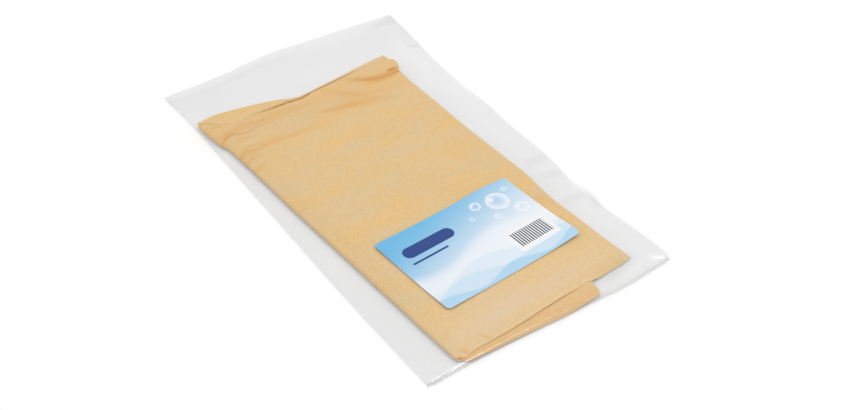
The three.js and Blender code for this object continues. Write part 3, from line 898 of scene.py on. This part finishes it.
def labelMaterial():
    made, start = material("printed_label")
    u, v = start.add("UVMap", None, {"uv_map": "sheet"}).split()[:2]
    p = (u - 0.5) * label["width"]
    q = (v - 0.5) * label["height"]

    def distance(overP, overQ):
        return (overP * overP + overQ * overQ).root()

    def slab(centreP, centreQ, halfP, halfQ, corner):  # 1 inside a rectangle with round corners
        overP = (abs(p - centreP) - (halfP - corner)).larger(0.0)
        overQ = (abs(q - centreQ) - (halfQ - corner)).larger(0.0)
        return 1 - distance(overP, overQ).rise(corner - ink["soft"], corner + ink["soft"])

    def wave(level, height, length, phase, soft):  # 1 below a wavy line
        line = (p * (2 * math.pi / length) + phase).sine() * height + level
        return 1 - (q - line).rise(-soft, soft)

    sky = (q + p * ink["skyLean"]).rise(ink["skyFrom"], ink["skyTo"])
    base = sky.blend(colour(*ink["skyLow"]), colour(*ink["skyHigh"]))
    for *shape, density, tone in ink["waves"]:
        base = (wave(*shape) * density).blend(base, colour(*tone))
    for atP, atQ, size in ink["bubbles"]:
        d = distance(p - atP, q - atQ)
        inside = 1 - d.rise(size - ink["bubbleSoft"], size + ink["bubbleSoft"])
        film = inside * d.rise(ink["bubbleHollow"] * size, size) * ink["bubbleDensity"]
        base = film.blend(base, colour(*ink["bubble"]))
        d = distance(p - (atP - ink["glintLeft"] * size), q - (atQ + ink["glintUp"] * size))
        glint = 1 - d.rise(ink["glintCore"] * size, ink["glintEnd"] * size)
        base = (glint * ink["glintDensity"]).blend(base, colour(*ink["glint"]))
    for *shape, tone in ink["slabs"]:
        base = slab(*shape).blend(base, colour(*tone))
    stripes = (p * (2 * math.pi / ink["stripePitch"])).sine()
    stripes = stripes.rise(-ink["stripeSoft"], ink["stripeSoft"]) * slab(*ink["stripes"])
    base = stripes.blend(base, colour(*ink["stripe"]))
    grain = start.add("TexCoord", out=3).noise(900.0, 3.0)
    bump = start.add("Bump", {"Height": grain, "Strength": 0.05, "Distance": 0.0002})
    shader = start.add("BsdfPrincipled", {
        "Base Color": base, "Roughness": 0.36 + grain * 0.1, "Normal": bump, "Specular IOR Level": 0.4})
    start.add("OutputMaterial", {"Surface": shader})
    return made


def glueMaterial():
    made, start = material("label_glue")
    patch = start.add("TexCoord", out=3).noise(140.0, 3.0).rise(0.35, 0.65)
    tone = patch.blend(colour(236, 234, 226), colour(224, 220, 206))
    shader = start.add("BsdfPrincipled", {"Base Color": tone, "Roughness": 0.4 + patch * 0.2})
    start.add("OutputMaterial", {"Surface": shader})
    return made


def makeLabel():
    paperGrid, uv = labelGrid(0)
    glueGrid, glueUv = labelGrid(label["glueInset"])
    up = np.array([0, 0, 1.0])
    paperLow = paperGrid + up * label["glue"]
    paper = shell("labelPaper", paperLow + up * label["paper"], paperLow, uv)
    place(paper, "label_face", "bag", labelMaterial())
    glue = shell("labelGlue", glueGrid + up * label["glue"], glueGrid, glueUv)
    place(glue, "label_adhesive", "bag", glueMaterial())
    return paper, glue


# The photographer's table: camera, floor, a large soft lamp, a strip lamp for glints alone, an even sky
view = dict(
    target=(-3.86, -30.81, 0.0), distance=800.7, azimuth=-33.91, elevation=40.17,
    lens=60.1, sensor=36, nearest=0.01,
)
table = dict(size=6.0, drop=0.0003, albedo=0.86, glow=0.21)
softbox = dict(
    towards=(0.5, -0.1, 0.86), distance=2.4, size=(1.4, 1.4), watts=9.0, glossy=False, diffuse=True)
spark = dict(
    towards=(0.28, -0.22, 0.935), distance=2.4, size=(1.42, 0.24), watts=10.4, glossy=True, diffuse=False)
sky = dict(strength=0.81)


def makeCamera():
    azimuth, elevation = math.radians(view["azimuth"]), math.radians(view["elevation"])
    level = math.cos(elevation)
    away = np.array([math.sin(azimuth) * level, -math.cos(azimuth) * level, math.sin(elevation)])
    data = bpy.data.cameras.new("camera")
    data.sensor_fit = "HORIZONTAL"
    data.sensor_width = view["sensor"]
    data.lens = view["lens"]
    data.clip_start = view["nearest"]
    camera = newObject("camera", data)
    camera.location = (np.array(view["target"]) + away * view["distance"]) * mm
    camera.rotation_euler = (math.pi / 2 - elevation, 0, azimuth)
    bpy.context.scene.camera = camera


def seenShare(start):  # 1 for what the camera sees, directly, mirrored or through something clear
    path = start.add("LightPath").socket.node
    names = ("Is Camera Ray", "Is Glossy Ray", "Is Transmission Ray")
    rays = [Wire(start.tree, path.outputs[name]) for name in names]
    return rays[0].larger(rays[1]).larger(rays[2])


def makeTable():
    half = table["size"] / 2
    corners = [(-half, -half), (half, -half), (half, half), (-half, half)]
    mesh = bpy.data.meshes.new("table")
    mesh.from_pydata([(x, y, -table["drop"]) for x, y in corners], [], [(0, 1, 2, 3)])
    made, start = material("table_top")
    grey = (table["albedo"],) * 3 + (1.0,)
    matte = start.add("BsdfDiffuse", {"Color": grey})
    glow = start.add("Emission", {"Color": white, "Strength": seenShare(start) * table["glow"]})
    start.add("OutputMaterial", {"Surface": start.add("AddShader", {0: matte, 1: glow})})
    mesh.materials.append(made)
    top = newObject("table", mesh)


def makeLamp(name, lamp):  # an oval lamp that faces the origin, its first side along the bag's width
    towards = np.array(lamp["towards"]) / np.linalg.norm(lamp["towards"])
    side = np.array([1.0, 0.0, 0.0]) - towards * towards[0]
    side = side / np.linalg.norm(side)
    data = bpy.data.lights.new(name, "AREA")
    data.shape = "ELLIPSE"
    data.size, data.size_y = lamp["size"]
    data.energy = lamp["watts"]
    made = newObject(name, data)
    made.location = towards * lamp["distance"]
    axes = np.stack([side, np.cross(towards, side), towards], 1)
    made.rotation_euler = Matrix(axes.tolist()).to_euler()
    made.visible_glossy = lamp["glossy"]
    made.visible_diffuse = lamp["diffuse"]


def makeSky():
    world = bpy.data.worlds.new("sky")
    bpy.context.scene.world = world
    world.use_nodes = True
    world.node_tree.nodes.clear()
    start = Wire(world.node_tree)
    seen = seenShare(start)
    strength = seen + (1 - seen) * sky["strength"]
    light = start.add("Background", {"Color": white, "Strength": strength})
    start.add("OutputWorld", {"Surface": light})


bpy.context.scene.view_settings.view_transform = "Standard"
makeCamera()
makeTable()
makeLamp("softbox", softbox)
makeLamp("spark", spark)
makeSky()
print("camera, table and lamps placed")
skin = makeChamois()
print("chamois folded")
front, back, fold, leftSeal, rightSeal = makeBag()
print("bag made")
paper, glue = makeLabel()
print("label stuck on")
